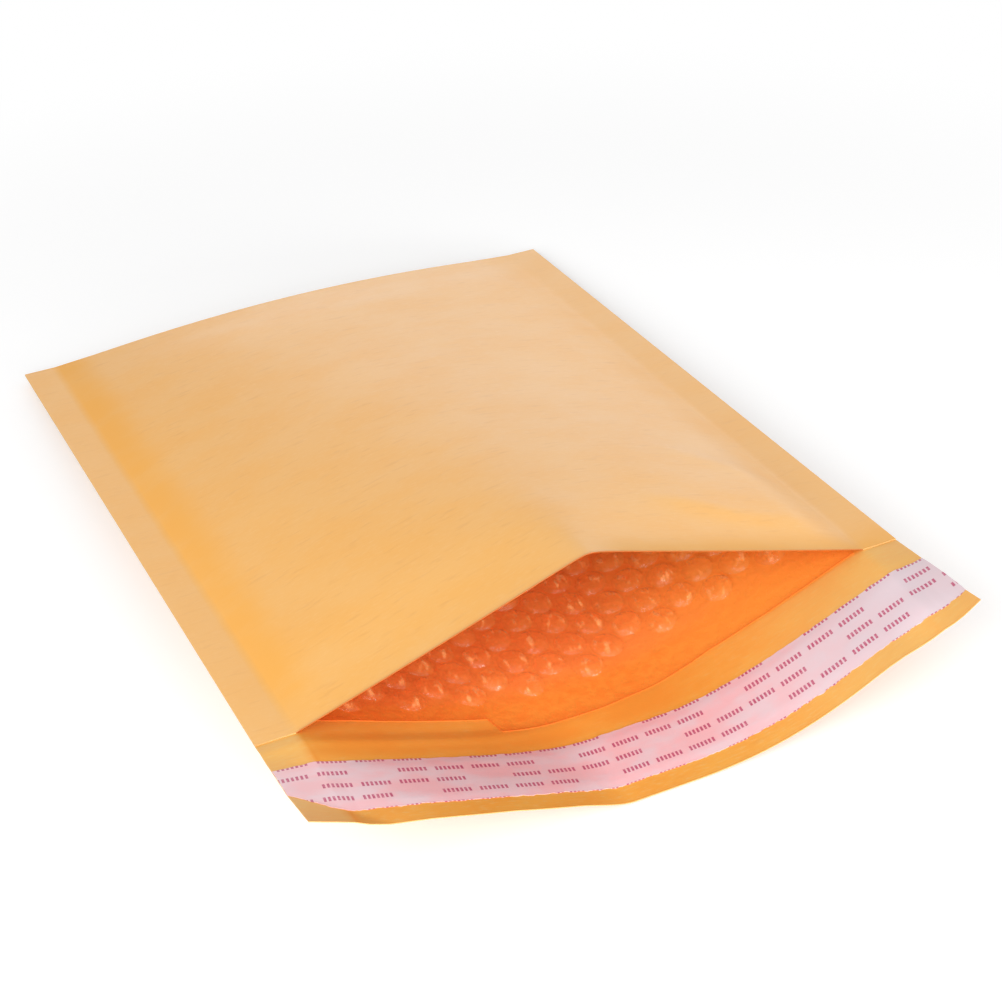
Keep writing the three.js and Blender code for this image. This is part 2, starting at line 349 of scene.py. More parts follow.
def nose(across, turns, inset):
    """Points round the bottom fold, with turns from 0 on the front panel to pi on the back."""
    run = panel_run(across)
    top = layer(across, run, 1, inset)
    bottom = layer(across, run, -1, inset)
    half = (top[..., 2] - bottom[..., 2]) / 2
    middle = (top[..., 2] + bottom[..., 2]) / 2
    points = np.empty(np.broadcast(across, turns).shape + (3,))
    points[..., 0] = top[..., 0]
    points[..., 1] = top[..., 1] + NOSE_SHAPE * half * np.sin(turns)
    points[..., 2] = middle + half * np.cos(turns)
    return points


def nose_turns(rows):
    """Turns between the two panels, without the panels' own rows."""
    return np.linspace(0, math.pi, rows)[None, 1:-1]


def stack_rows(*chains):
    return np.concatenate(chains, axis=1)


def flat_place(across, along):
    across, along = np.asarray(across, float), np.asarray(along, float)
    return np.stack(np.broadcast_arrays(across, along), axis=-1)


class Sheet:
    """Faces of one piece, each with its material's number, and three tones at each point."""

    def __init__(self):
        self.points = []
        self.faces = []
        self.kinds = []
        self.flat = []
        self.tone = []
        self.count = 0

    def add_points(self, points, flat, tone):
        """Adds a grid of points and gives their numbers."""
        shape = points.shape[:-1]
        size = math.prod(shape)
        self.points.append(points.reshape(-1, 3))
        self.flat.append(np.broadcast_to(flat, shape + (2,)).reshape(-1, 2))
        self.tone.append(np.broadcast_to(tone, shape + (3,)).reshape(-1, 3))
        numbers = self.count + np.arange(size).reshape(shape)
        self.count += size
        return numbers

    def add_quads(self, left, right, kinds):
        """Quads between neighbouring chains of point numbers."""
        corners = (left[..., :-1], right[..., :-1], right[..., 1:], left[..., 1:])
        quads = np.stack(corners, axis=-1)
        self.faces.extend(quads.reshape(-1, 4).tolist())
        self.kinds.extend(np.broadcast_to(kinds, quads.shape[:-1]).reshape(-1).tolist())

    def add_face(self, numbers, kind):
        self.faces.append([int(number) for number in numbers])
        self.kinds.append(kind)

    def make(self, name, materials):
        mesh = bpy.data.meshes.new(name)
        points = (np.concatenate(self.points) + np.array([0, FOLD_TIP, 0])) * MM
        mesh.from_pydata(points.tolist(), [], self.faces)
        for material in materials:
            mesh.materials.append(material)
        mesh.polygons.foreach_set("material_index", np.array(self.kinds, dtype=np.int32))
        corners = np.empty(len(mesh.loops), dtype=np.int32)
        mesh.loops.foreach_get("vertex_index", corners)
        flat = np.concatenate(self.flat) * MM
        uv = mesh.uv_layers.new(name="flat_sheet")
        uv.data.foreach_set("uv", flat[corners].astype(np.float32).ravel())
        tone = np.concatenate(self.tone)
        tone = np.concatenate([tone, np.ones((len(tone), 1))], axis=1)
        colours = mesh.color_attributes.new("tone", "FLOAT_COLOR", "POINT")
        colours.data.foreach_set("color", tone.astype(np.float32).ravel())
        mesh.shade_smooth()
        mesh.set_sharp_from_angle(angle=SHARP_ANGLE)
        mesh.validate()
        mesh.update()
        piece = bpy.data.objects.new(name, mesh)
        bpy.context.scene.collection.objects.link(piece)
        return piece


def linear(red, green, blue):
    """A colour as a picture shows it, from 0 to 255, as light."""
    values = []
    for value in (red, green, blue):
        share = value / 255
        values.append(share / 12.92 if share <= 0.04045 else ((share + 0.055) / 1.055) ** 2.4)
    return (*values, 1)


class Shader:
    """A small helper that adds nodes to one material."""

    def __init__(self, name):
        self.material = bpy.data.materials.new(name)
        self.material.use_nodes = True
        self.tree = self.material.node_tree
        self.surface = self.tree.nodes["Principled BSDF"]

    def node(self, kind, inputs=(), **settings):
        made = self.tree.nodes.new(kind)
        for key, value in settings.items():
            setattr(made, key, value)
        for key, value in dict(inputs).items():
            self.feed(made.inputs[key], value)
        return made

    def feed(self, socket, value):
        if isinstance(value, bpy.types.NodeSocket):
            self.tree.links.new(value, socket)
        else:
            socket.default_value = value

    def set(self, **inputs):
        for key, value in inputs.items():
            self.feed(self.surface.inputs[key.replace("_", " ")], value)

    def flat(self):
        """Places on the flat sheet, in metres."""
        return self.node("ShaderNodeUVMap", uv_map="flat_sheet").outputs[0]

    def noise(self, scale, detail=3, roughness=0.55, across=1.0, along=1.0):
        """Noise on the flat sheet. A share below 1 stretches it that way."""
        stretch = {"Vector": self.flat(), "Scale": (across, along, 1)}
        vector = self.node("ShaderNodeMapping", stretch).outputs[0]
        inputs = {"Vector": vector, "Scale": scale, "Detail": detail, "Roughness": roughness}
        return self.node("ShaderNodeTexNoise", inputs).outputs["Fac"]

    def ramp(self, value, low, high, out_low=0.0, out_high=1.0):
        made = self.node(
            "ShaderNodeMapRange",
            {0: value, 1: low, 2: high, 3: out_low, 4: out_high},
            interpolation_type="SMOOTHSTEP",
        )
        return made.outputs[0]

    def math(self, operation, first, second=0.0, third=0.0):
        inputs = {0: first, 1: second, 2: third}
        return self.node("ShaderNodeMath", inputs, operation=operation).outputs[0]

    def times(self, first, second):
        return self.math("MULTIPLY", first, second)

    def sum_of(self, value, factor, rest):
        """Value times factor, plus the rest."""
        return self.math("MULTIPLY_ADD", value, factor, rest)

    def repeat(self, value, period):
        """Place within a period that repeats."""
        return self.times(self.math("FRACT", self.math("DIVIDE", value, period)), period)

    def mix(self, share, first, second):
        made = self.node("ShaderNodeMix", {0: share, 6: first, 7: second}, data_type="RGBA")
        return made.outputs[2]

    def tint(self, colour, share, strength, second):
        """Blends a second colour in where the share is high."""
        return self.mix(self.times(share, strength), colour, second)

    def tone(self):
        attribute = self.node("ShaderNodeAttribute", attribute_name="tone")
        parts = self.node("ShaderNodeSeparateColor", {0: attribute.outputs["Color"]})
        return parts.outputs[0], parts.outputs[1], parts.outputs[2]

    def bump(self, height, strength, distance, below=None):
        inputs = {"Height": height, "Strength": strength, "Distance": distance}
        if below is not None:
            inputs["Normal"] = below
        return self.node("ShaderNodeBump", inputs).outputs[0]


def kraft(name, body, warm, pale, dark, roughness, level):
    """Machine-glazed kraft. Tone holds the seam band, the matt creases with their painted shade and
    the dark cut edge, partly painted shade at the lip.
    """
    shader = Shader(name)
    seam, crease_shade_and_matt, edge = shader.tone()
    streaks = shader.noise(1500, detail=4, roughness=0.6, across=0.22)
    clouds = shader.noise(55, detail=4, roughness=0.6, across=0.6)
    fibres = shader.noise(620, detail=2, roughness=0.5, across=0.18)
    grain = shader.noise(2600, roughness=0.6)
    colour = shader.mix(shader.ramp(clouds, 0.36, 0.66, 0.0, 0.55), body, warm)
    colour = shader.mix(shader.ramp(streaks, 0.48, 0.74, 0.0, 0.5), colour, pale)
    colour = shader.mix(shader.ramp(fibres, 0.56, 0.76, 0.0, 0.12), colour, dark)
    colour = shader.tint(colour, seam, 0.3, pale)
    # Painted shade: creases and a band along the right lip turn warmer and darker where the paper
    # shows no sheen.
    colour = shader.tint(colour, crease_shade_and_matt, shader.ramp(clouds, 0.3, 0.6, 0.45, 1.0), warm)
    # The dark line at the lip and at the flap's free edge; at the lip it is partly painted shade.
    colour = shader.tint(colour, edge, 0.7, dark)
    shine = shader.sum_of(clouds, 0.1, roughness - 0.05)
    shine = shader.sum_of(grain, 0.08, shine)
    shine = shader.sum_of(crease_shade_and_matt, 0.2, shine)
    coarse = shader.bump(clouds, 0.03, 0.0012)
    fine = shader.bump(streaks, 0.14, 0.00025, coarse)
    shader.set(Base_Color=colour, Roughness=shine, Specular_IOR_Level=level)
    shader.set(Normal=shader.bump(grain, 0.1, 0.0001, fine))
    return shader.material


def cut_edge(name, dark, light):
    """Bare edge of the sheet, where the fibres show rough."""
    shader = Shader(name)
    fibres = shader.noise(1900, roughness=0.7)
    colour = shader.mix(shader.ramp(fibres, 0.35, 0.7), dark, light)
    shader.set(Base_Color=colour, Roughness=shader.ramp(fibres, 0.3, 0.7, 0.75, 0.95))
    shader.set(Specular_IOR_Level=0.25, Normal=shader.bump(fibres, 0.3, 0.0002))
    return shader.material


def lining_film():
    """Clear film on orange kraft. Tone holds painted light on the right side, painted shade at the
    edge and left end, and the bubbles' zone.
    """
    shader = Shader("bubble_film_base")
    painted_light_right, edge, zone = shader.tone()
    haze = shader.noise(260)
    wrinkle = shader.noise(620, detail=4, roughness=0.6, along=0.5)
    light, dark = linear(247, 152, 60), linear(245, 140, 52)
    colour = shader.mix(shader.ramp(haze, 0.35, 0.68), light, dark)
    colour = shader.tint(colour, zone, 0.8, linear(255, 152, 78))
    # Painted light: the right side is paler, as it is lit more.
    colour = shader.tint(colour, painted_light_right, 0.85, linear(251, 166, 68))
    # Painted shade: darker along the film's edge, behind the fold strip on the left and towards the
    # left end.
    colour = shader.tint(colour, edge, 0.6, linear(222, 100, 38))
    coarse = shader.bump(haze, 0.2, 0.0008)
    shader.set(Base_Color=colour, Roughness=shader.ramp(haze, 0.3, 0.7, 0.2, 0.34))
    shader.set(Specular_IOR_Level=0.5, Normal=shader.bump(wrinkle, 0.16, 0.0005, coarse))
    return shader.material


def bubble_film():
    """Thin clear domes. Tone holds the height on a bubble, a tint for each bubble with painted
    light on the right side, and the rim, which gets painted shade.
    """
    shader = Shader("bubble_film_dome")
    height, each, rim = shader.tone()
    haze = shader.noise(420)
    wrinkle = shader.noise(520, roughness=0.6, along=0.6)
    # Haze and painted glints: pale hazy spots on the dome tops, as film wrinkles catching the
    # light.
    haze_and_painted_glints = shader.ramp(shader.noise(430, detail=2, roughness=0.5, along=0.5), 0.5, 0.68)
    haze_and_painted_glints = shader.times(haze_and_painted_glints, shader.ramp(height, 0.2, 0.7))
    # Tint for each bubble, paler on the right side as painted light.
    colour = shader.mix(each, linear(255, 188, 96), linear(255, 146, 74))
    colour = shader.tint(colour, haze_and_painted_glints, 0.9, linear(255, 192, 124))
    # Painted shade: a darker red ring where the dome meets the film.
    colour = shader.tint(colour, rim, 0.2, linear(246, 118, 50))
    cover = shader.sum_of(haze_and_painted_glints, 0.4, shader.sum_of(rim, 0.05, 0.13))
    shader.set(Base_Color=colour, Roughness=shader.ramp(haze, 0.3, 0.7, 0.07, 0.18), Alpha=cover)
    shader.set(Specular_IOR_Level=0.7, Coat_Weight=0.6, Coat_Roughness=0.08)
    shader.set(Normal=shader.bump(wrinkle, 0.75, 0.0013))
    return shader.material


def liner_ticks(shader):
    """Share of ink in rows of plain slanted ticks, in words and lines. Sizes are in metres."""
    row_pitch, row_shift = 0.0053, 0.0225
    line_pitch, words_in_line = 0.053, 4
    word_pitch, ticks_in_word = 0.0104, 7
    tick_pitch, tick_middle, tick_slant = 0.0012, 0.45, 90.0
    far_left = 1.0  # keeps places positive
    parts = shader.node("ShaderNodeSeparateXYZ", {0: shader.flat()})
    across, along = parts.outputs[0], parts.outputs[1]
    place = shader.math("ADD", along, 0.5 * row_pitch)
    row = shader.math("FLOOR", shader.math("DIVIDE", place, row_pitch))
    in_row = shader.math("SUBTRACT", shader.repeat(place, row_pitch), 0.5 * row_pitch)
    run = shader.sum_of(row, row_shift, shader.math("ADD", across, far_left))
    in_line = shader.repeat(run, line_pitch)
    in_word = shader.repeat(in_line, word_pitch)
    in_tick = shader.math("FRACT", shader.math("DIVIDE", in_word, tick_pitch))
    from_tick = shader.math("SUBTRACT", shader.sum_of(in_row, tick_slant, in_tick), tick_middle)
    wide = shader.ramp(shader.math("ABSOLUTE", from_tick), 0.26, 0.32, 1.0, 0.0)
    tall = shader.ramp(shader.math("ABSOLUTE", in_row), 0.0008, 0.00092, 1.0, 0.0)
    word = shader.math("LESS_THAN", in_word, ticks_in_word * tick_pitch)
    line = shader.math("LESS_THAN", in_line, words_in_line * word_pitch)
    return shader.times(shader.times(wide, tall), shader.times(word, line))


def liner_film():
    """Coated release liner with printed ticks. Tone holds the greyer right side."""
    shader = Shader("liner_film")
    greyer = shader.tone()[0]
    cloud = shader.noise(120, across=0.5)
    worn = shader.noise(1400, roughness=0.6)
    pink, lilac = linear(238, 184, 188), linear(229, 198, 203)
    paper = shader.mix(shader.ramp(cloud, 0.38, 0.64), pink, lilac)
    paper = shader.tint(paper, greyer, 0.8, linear(218, 201, 207))
    ink = shader.ramp(worn, 0.25, 0.6, 0.55, 0.95)
    colour = shader.tint(paper, liner_ticks(shader), ink, linear(184, 66, 106))
    coarse = shader.bump(cloud, 0.2, 0.0006)
    shader.set(Base_Color=colour, Roughness=shader.ramp(cloud, 0.3, 0.7, 0.3, 0.46))
    shader.set(Specular_IOR_Level=0.5, Normal=shader.bump(worn, 0.1, 0.0001, coarse))
    return shader.material


def hot_melt():
    """Tacky amber adhesive with streaks along the strip."""
    shader = Shader("hot_melt")
    drag = shader.noise(700, roughness=0.6, across=0.15)
    colour = shader.mix(shader.ramp(drag, 0.3, 0.7), linear(238, 214, 158), linear(226, 190, 120))
    shader.set(Base_Color=colour, Roughness=shader.ramp(drag, 0.3, 0.7, 0.18, 0.34))
    shader.set(Specular_IOR_Level=0.5, Normal=shader.bump(drag, 0.3, 0.0004))
    return shader.material


def kraft_tone(across, depth, side):
    """Tones of the kraft's outside: seam band, matt creases with painted shade, and the dark line
    at the lip, which is partly painted shade.
    """
    across, depth = np.broadcast_arrays(across, depth)
    inside = INNER_HALF - np.abs(across)
    seam = fade(inside + waves(across, depth, SEAM_WAVER), 1.2, -1.2)
    # Painted shade with matt paper: a warmer, darker band inside each seam, and on the front a band
    # along the right lip.
    crease_shade_and_matt = fade(inside, -1.5, 1.5) * fade(inside, 16, 4) * fade(depth, 2, 14)
    crease_shade_and_matt = crease_shade_and_matt * (1 - 0.75 * fade(across, 0, 40))
    edge = np.zeros(across.shape)
    if side > 0:
        # Painted shade along the lip, partly the cut paper's own darker colour; lighter to the
        # right.
        edge = np.exp(-np.maximum(0, depth) / 0.45) * (inside > 0)
        edge = edge * (1 - 0.5 * fade(across, 0, 20))
        crease_shade_and_matt = np.maximum(crease_shade_and_matt, hump(depth, 0, 8) * fade(across, -2, 14))
    return np.stack([seam, crease_shade_and_matt, edge], axis=-1)


def flap_tone(across, place):
    """Tones of the flap's inner face: pale seam bands, a right end made paler as painted light,
    creases and the flap beside the pocket's mouth with painted shade, and the free edge.
    """
    across, place = np.broadcast_arrays(across, place)
    inside = INNER_HALF - np.abs(across)
    wavering = inside + waves(across, place, FLAP_WAVER)
    # Pale seam bands, and painted light: the flap's right end is paler, as it is lit more.
    seam = np.maximum(fade(wavering, 0.6, -1), 1.5 * fade(across, 20, 80))
    # Painted shade: a darker, warmer line along the seam crease and a patch beside the pocket's
    # mouth.
    crease_shade_and_matt = hump(wavering, 1.2, 1.1) * (1 - 0.85 * fade(across, 0, 40))
    painted_pocket_shade = fade(place, 15, 8) * (1 - 0.85 * fade(across, 5, 65))
    crease_shade_and_matt = np.maximum(crease_shade_and_matt, painted_pocket_shade * fade(inside, 0, 3))
    edge = 0.4 * np.exp(-np.abs(FLAP_LENGTH - place) / 0.35)
    return np.stack([seam, crease_shade_and_matt, edge], axis=-1)


def film_tone(columns, depths, from_edge):
    """Tones of the film: painted light on the right side, painted shade at the edge and the left
    end, and the bubbles' zone.
    """
    # Painted light: paler towards the right, which is lit more.
    painted_light_right = fade(columns, 5, 65)
    # Painted shadow behind the fold strip on the left, painted shade along the edge and towards the
    # left end, and a dark line at the very edge.
    folded = fade(columns, -30, -33) * hump(from_edge, 0, 2.6)
    painted_shade = 0.45 * hump(from_edge, 0, 2) + 0.6 * fade(columns, -15, -65)
    edge = np.maximum(np.maximum(0.85 * folded, painted_shade), np.exp(-from_edge / 0.3))
    zone = fade(depths, MOUTH_MARGIN - 6, MOUTH_MARGIN + 2)
    return np.stack(np.broadcast_arrays(painted_light_right, edge, zone), axis=-1)


def kraft_columns():
    """Places across the kraft sheet, finer at the peak and beside the seams."""
    half = [(0, 8, 9), (8, 70, 38), (70, INNER_HALF, 17), (INNER_HALF, HALF_WIDTH, 8)]
    right = np.concatenate([np.linspace(*span) for span in half])
    return np.unique(np.concatenate([-right, right]).round(4))[:, None]


def make_kraft():
    """The folded sheet: its outside from the lip round to the flap's end, then its inside."""
    columns = kraft_columns()
    run = panel_run(columns)
    shares = np.concatenate([[0, 0.0016, 0.004, 0.008, 0.014], np.linspace(0.022, 1, 84)])
    depths = shares[None, :] * run
    turns = nose_turns(14)
    places = np.concatenate([[0.35, 1], np.linspace(2, 39.6, 32), [FLAP_LENGTH]])[None, :]
    hinge = 0 * columns
    outer_hinge = 2 * PANEL_LENGTH + OUTER_NOSE

    sheet = Sheet()
    outer = stack_rows(
        layer(columns, depths, 1, 0),
        nose(columns, turns, 0),
        layer(columns, depths, -1, 0)[:, ::-1],
        layer(columns, -places, -1, 0),
        layer(columns, -places, -1, PAPER)[:, ::-1],
        layer(columns, hinge, -1, PAPER),
    )
    flat = stack_rows(
        flat_place(columns, depths),
        flat_place(columns, PANEL_LENGTH + OUTER_NOSE * turns / math.pi),
        flat_place(columns, outer_hinge - depths[:, ::-1]),
        flat_place(columns, outer_hinge + places),
        flat_place(columns, INNER_HINGE + places[:, ::-1]),
        flat_place(columns, INNER_HINGE + hinge),
    )
    tone = stack_rows(
        kraft_tone(columns, depths, 1),
        kraft_tone(columns, run + 0 * turns, -1),
        kraft_tone(columns, depths[:, ::-1], -1),
        kraft_tone(columns, -places, -1),
        flap_tone(columns, places[:, ::-1]),
        flap_tone(columns, hinge),
    )
    numbers = sheet.add_points(outer, flat, tone)
    panel_rows = depths.shape[1]
    back_start = panel_rows + turns.shape[1]
    under_start = back_start + panel_rows
    upper_start = under_start + places.shape[1]
    kinds = np.full(outer.shape[1] - 1, OUTSIDE)
    kinds[upper_start - 1] = CUT_EDGE
    kinds[upper_start:] = INSIDE
    sheet.add_quads(numbers[:-1], numbers[1:], kinds)

    # The lining hides most of the inner faces, so they have fewer rows
    pocket = np.where(np.abs(columns[:, 0]) <= INNER_HALF)[0]
    columns, hinge = columns[pocket], hinge[pocket]
    shares = np.concatenate([[0.006, 0.012], np.linspace(0.03, 1, 34)])
    depths = shares[None, :] * run[pocket]
    turns = nose_turns(8)
    inner = stack_rows(
        layer(columns, depths, -1, PAPER),
        nose(columns, turns, PAPER)[:, ::-1],
        layer(columns, depths, 1, PAPER)[:, ::-1],
        layer(columns, hinge, 1, PAPER),
    )
    flat = stack_rows(
        flat_place(columns, INNER_HINGE - depths),
        flat_place(columns, INNER_FOLD - OUTER_NOSE * turns[:, ::-1]),
        flat_place(columns, INNER_LIP + depths[:, ::-1]),
        flat_place(columns, INNER_LIP + hinge),
    )
    inner_numbers = sheet.add_points(inner, flat, (0.0, 1.0, 0.0))
    chain = np.concatenate([numbers[pocket][:, -1:], inner_numbers], axis=1)
    sheet.add_quads(chain[:-1], chain[1:], INSIDE)
    lip = np.stack([inner_numbers[:, -1], numbers[pocket][:, 0]], axis=1)
    sheet.add_quads(lip[:-1], lip[1:], LIP_EDGE)

    # Front panel's cut edge on the seam bands, and the cut edges along both sides
    last = len(numbers) - 1
    for band in (numbers[: pocket[0] + 1], numbers[pocket[-1] :]):
        step = np.stack([band[:, -1], band[:, 0]], axis=1)
        sheet.add_quads(step[:-1], step[1:], CUT_EDGE)
    for column, order in ((0, 1), (last, -1)):
        line = numbers[column]
        top, bottom = line[:panel_rows], line[back_start:under_start][::-1]
        sheet.add_quads(*(bottom, top)[::order], CUT_EDGE)
        sheet.add_face(line[panel_rows - 1 : back_start + 1][::order], CUT_EDGE)
        low, high = line[under_start - 1 : upper_start], line[upper_start:][::-1]
        sheet.add_quads(*(high, low)[::order], CUT_EDGE)

    outside = kraft(
        "kraft_outside",
        body=linear(238, 178, 94),
        warm=linear(239, 171, 73),
        pale=linear(241, 186, 114),
        dark=linear(186, 106, 44),
        roughness=0.4,
        level=0.68,
    )
    inside = kraft(
        "kraft_inside",
        body=linear(236, 169, 70),
        warm=linear(235, 147, 48),
        pale=linear(231, 188, 114),
        dark=linear(198, 116, 42),
        roughness=0.45,
        level=0.45,
    )
    edge = cut_edge("kraft_cut_edge", dark=linear(206, 146, 76), light=linear(246, 206, 146))
    # The lip's cut edge is darker than the other cut edges, partly as painted shade.
    lip_edge = cut_edge("kraft_lip_edge", dark=linear(158, 76, 26), light=linear(200, 116, 48))
    return sheet.make("kraft_sheet", [outside, inside, edge, lip_edge])


def bubble_room(across, depth):
    """Clear height between the front and the back film."""
    front = layer(across, depth, 1, FILM_INNER)[..., 2]
    back = layer(across, depth, -1, FILM_INNER)[..., 2]
    return front - back


def make_lining():
    """The film, folded at the bottom, and its bubbles on a staggered lattice."""
    columns = np.concatenate([np.linspace(-LINING_HALF, LINING_HALF, 73), NOTCH])
    columns = np.unique(columns)[:, None]
    run = panel_run(columns)
    shares = np.concatenate([[0, 0.004, 0.012, 0.024], np.linspace(0.04, 1, 52)])[None, :]
    edge = along_points(columns, FILM_EDGE) + waves(columns, 0 * columns, FILM_WAVER)
    depths = LINING_SETBACK + shares * (run - LINING_SETBACK)
    back_depths = (edge + shares * (run - edge))[:, ::-1]
    turns = nose_turns(9)
    nose_depths = run + 0 * turns
    flat = stack_rows(
        flat_place(columns, depths),
        flat_place(columns, PANEL_LENGTH + FILM_NOSE * turns),
        flat_place(columns, FILM_BACK - back_depths),
    )
    from_edge = stack_rows(depths - LINING_SETBACK, nose_depths, back_depths - edge)
    tone = film_tone(columns, stack_rows(depths, nose_depths, back_depths), from_edge)
    outer, inner = (
        stack_rows(
            layer(columns, depths, 1, inset),
            nose(columns, turns, inset),
            layer(columns, back_depths, -1, inset),
        )
        for inset in (FILM_OUTER, FILM_INNER)
    )
    sheet = Sheet()
    numbers = sheet.add_points(
        stack_rows(outer, inner[:, ::-1]),
        stack_rows(flat, flat[:, ::-1]),
        stack_rows(tone, tone[:, ::-1]),
    )
    closed = np.concatenate([numbers, numbers[:, :1]], axis=1)
    sheet.add_quads(closed[:-1], closed[1:], FILM_BASE)
    half = numbers.shape[1] // 2
    for column, order in ((0, 1), (-1, -1)):
        ends = numbers[column, half:][::-1], numbers[column, :half]
        sheet.add_quads(*ends[::order], FILM_BASE)

    rng = np.random.default_rng(BUBBLE_SEED)
    pitch = 2 * LATTICE_HALF / BUBBLE_COLUMNS
    for side in (1, -1):
        for column in range(BUBBLE_COLUMNS):
            across = -LATTICE_HALF + (column + 0.5) * pitch
            first = -1 if column % 2 and across < EXTRA_ROW_END else column % 2
            for step in range(first, LATTICE_STEPS - 1, 2):
                depth = MOUTH_MARGIN + (step + 1) * BUBBLE_PITCH / 2
                add_bubble(sheet, rng, across, depth, side)
    return sheet.make("bubble_film", [lining_film(), bubble_film()])


def add_bubble(sheet, rng, across, depth, side):
    """A soft dome on the film, a little slack and dimpled, whose rim dips into the film."""
    tall, wide, oval, turn, stray_across, stray_depth, tilt, dent = rng.uniform(-1, 1, 8)
    highest = (float(bubble_room(across, depth)) - BUBBLE_CLEARANCE) / 2
    height = min(max(highest, BUBBLE_LOWEST), BUBBLE_HEIGHT * (0.88 + 0.12 * tall))
    segments, rings = NEAR_MESH if depth < NEAR_DEPTH else FAR_MESH
    angles = np.linspace(0, 2 * math.pi, segments, endpoint=False)[:, None]
    shares = np.linspace(1.0, 0.0, rings + 1)[None, :-1] ** 0.8
    reach = BUBBLE_RADIUS * (1 + 0.03 * wide) * shares
    reach = reach * (1 + 0.05 * oval * np.cos(2 * angles + 3 * turn))
    middle_across = across + BUBBLE_STRAY * stray_across
    middle_depth = depth + BUBBLE_STRAY * stray_depth
    ring_across = middle_across + reach * np.cos(angles)
    ring_depth = middle_depth + reach * np.sin(angles)
    crown = (1 - shares**2.7) ** 0.75 + 0 * angles
    slack = 1 + 0.12 * tilt * np.cos(angles + 6 * dent) * shares
    dimple = BUBBLE_DIMPLE * max(0, dent)
    lift = height * crown * slack * (1 - dimple * hump(shares, 0, 0.45))
    points = layer(ring_across, ring_depth, side, FILM_INNER)
    points[..., 2] -= side * (lift - BUBBLE_SINK * shares**8)
    tip_point = layer(middle_across, middle_depth, side, FILM_INNER)
    tip_point[2] -= side * height * (1 - dimple)

    ring_along, tip_along = ring_depth, depth
    if side < 0:
        ring_along, tip_along = FILM_BACK - ring_depth, FILM_BACK - depth
    # A random tint for each bubble, with painted light: paler to the right and redder to the left,
    # as the right is lit more.
    each = 0.7 + 0.3 * turn - 0.6 * fade(across, 5, 65) + 0.3 * fade(across, -15, -65)
    each = float(np.clip(each, 0, 1))
    tone = np.stack(np.broadcast_arrays(crown, each, hump(shares, 0.97, 0.07)), axis=-1)
    numbers = sheet.add_points(points, flat_place(ring_across, ring_along), tone)
    tip_flat = flat_place(across, tip_along)[None, :]
    tip = sheet.add_points(tip_point[None, :], tip_flat, (1.0, each, 0.0))[0]
    looped = np.concatenate([numbers, numbers[:1]], axis=0)[::-side]
    sheet.add_quads(looped[:-1], looped[1:], FILM_DOME)
    for at in range(segments):
        sheet.add_face((looped[at, -1], looped[at + 1, -1], tip), FILM_DOME)


def make_strip(strip, material):
    """A strip on the flap from side to side, with ragged long edges that are pressed down."""
    columns = np.linspace(-HALF_WIDTH, HALF_WIDTH, STRIP_COLUMNS)[:, None]
    level = 0 * columns
    first = strip.start + waves(columns, level, RAGGED_START._replace(seed=strip.seed))
    corner = along_points(columns, LINER_CORNER) + strip.end - LINER.end
    last = np.minimum(strip.end, corner)
    last = last + waves(columns, level, RAGGED_END._replace(seed=strip.seed + 1))
    shares = np.concatenate([[0, 0.02], np.linspace(0.08, 0.92, 13), [0.98, 1]])[None, :]
    places = first + shares * (last - first)
    rise = fade(np.minimum(shares, 1 - shares), 0, EDGE_SHARE)
    lower = STRIP_EDGE + (strip.lower - STRIP_EDGE) * rise
    upper = lower + strip.upper - strip.lower
    top = layer(columns, -places, -1, upper)
    bottom = layer(columns, -places, -1, lower)[:, ::-1]
    flat = flat_place(columns, places - strip.start)
    tone = np.zeros((len(columns), 2 * shares.shape[1], 3))
    tone[..., 0] = fade(columns, 20, 80)
    sheet = Sheet()
    numbers = sheet.add_points(stack_rows(top, bottom), stack_rows(flat, flat[:, ::-1]), tone)
    closed = np.concatenate([numbers, numbers[:, :1]], axis=1)
    sheet.add_quads(closed[1:], closed[:-1], 0)
    rows = places.shape[1]
    for column, order in ((0, 1), (-1, -1)):
        ends = numbers[column, :rows], numbers[column, rows:][::-1]
        sheet.add_quads(*ends[::order], 0)
    return sheet.make(strip.name, [material])


kraft_sheet = make_kraft()
film = make_lining()
glue = make_strip(GLUE, hot_melt())
liner = make_strip(LINER, liner_film())

for piece, node, slot in (
    (kraft_sheet, "kraft_envelope", "kraft_paper"),
    (film, "bubble_lining", "bubble_film"),
    (glue, "adhesive_strip", "hot_melt"),
    (liner, "release_liner", "liner_film"),
):
    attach(piece, "root")
    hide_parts(node)

# Stage, in metres. Azimuth 0 stands on the flap's side, and 90 to the right of it.
FLOOR_REACH = 6
FLOOR_DROP = 0.0002
WHITE_FROM, WHITE_FULL = 0.2, 0.42  # distance over which the floor turns white
NEAR_GLOW = 0.3
SKY_LIGHT = 0.53
LAMPS = (
    # name, azimuth, elevation, distance, size, watts
    ("key", -52, 31, 0.95, (0.6, 0.5), 5.5),
    ("fill", -8, 17, 1.2, (0.8, 0.4), 3.9),
    ("mouth", 18, 7.5, 0.95, (0.6, 0.14), 6.9),
    ("glare", 148, 8, 1.6, (1.6, 0.42), 4.8),
)
CAMERA_AZIMUTH = -23.175
CAMERA_ELEVATION = 34.086
CAMERA_ROLL = -2.8105
CAMERA_DISTANCE = 0.61206
CAMERA_RIGHT = 0.017545  # the camera stands beside the line to the origin
CAMERA_UP = 0.003452
CAMERA_LENS = 69.597
CAMERA_SENSOR = 36


def stage_direction(azimuth, elevation):
    """Unit vector from the origin towards a lamp or the camera."""
    turn, rise = math.radians(azimuth), math.radians(elevation)
    level = math.cos(rise)
    return Vector((math.sin(turn) * level, -math.cos(turn) * level, math.sin(rise)))


